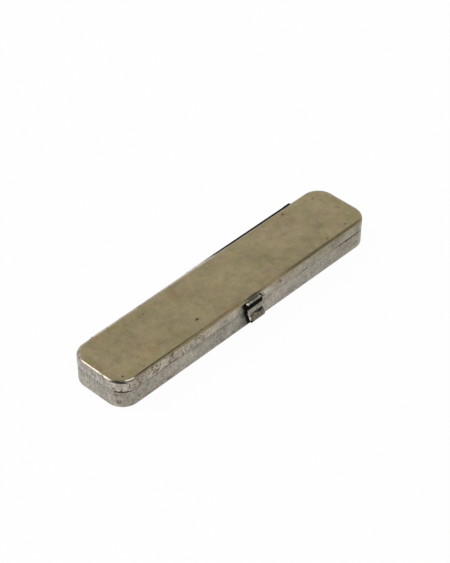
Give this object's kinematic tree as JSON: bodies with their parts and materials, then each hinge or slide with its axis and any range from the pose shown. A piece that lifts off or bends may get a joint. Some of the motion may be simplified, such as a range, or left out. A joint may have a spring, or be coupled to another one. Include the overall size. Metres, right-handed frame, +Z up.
{
  "type": "hinged pencil tin",
  "caption": "Long, low case of plated sheet metal with round corners and edges, a lid that fits over the base's rim on a long back hinge, and a small hinged hasp clasp in front.",
  "frame": {"origin": "middle of the underside, on the plane that the case rests on", "axes": "+X along the length of the case, +Z up out of the lid, the clasp on the -Y side and the hinge on the +Y side"},
  "size_m": [0.2, 0.0494, 0.0185],
  "materials": {
    "plated_sheet": "worn satin nickel plate, scratched",
    "lid_sheet": "worn satin nickel plate, tarnished olive",
    "hinge_steel": "dark tarnished plate",
    "pin_wire": "dark tarnished steel wire",
    "clasp_sheet": "worn bright nickel plate"
  },
  "bodies": {
    "base": {"base_pan": "plated_sheet", "hinge_base_leaf": "hinge_steel", "hinge_pin": "pin_wire", "catch_plate": "clasp_sheet"},
    "lid": {"lid_pan": "lid_sheet", "hinge_lid_leaf": "hinge_steel", "clasp_plate": "clasp_sheet", "clasp_pin": "pin_wire"},
    "tongue": {"clasp_tongue": "clasp_sheet"}
  },
  "joints": [
    {"name": "lid_open", "type": "hinge", "parent": "base", "child": "lid", "pos_m": [0, 0.0231, 0.0122], "axis": [-1, 0, 0], "range_deg": [0, 180]},
    {"name": "clasp_swing", "type": "hinge", "parent": "lid", "child": "tongue", "pos_m": [0.0012, -0.02205, 0.0172], "axis": [-1, 0, 0], "range_deg": [0, 150]}
  ]
}
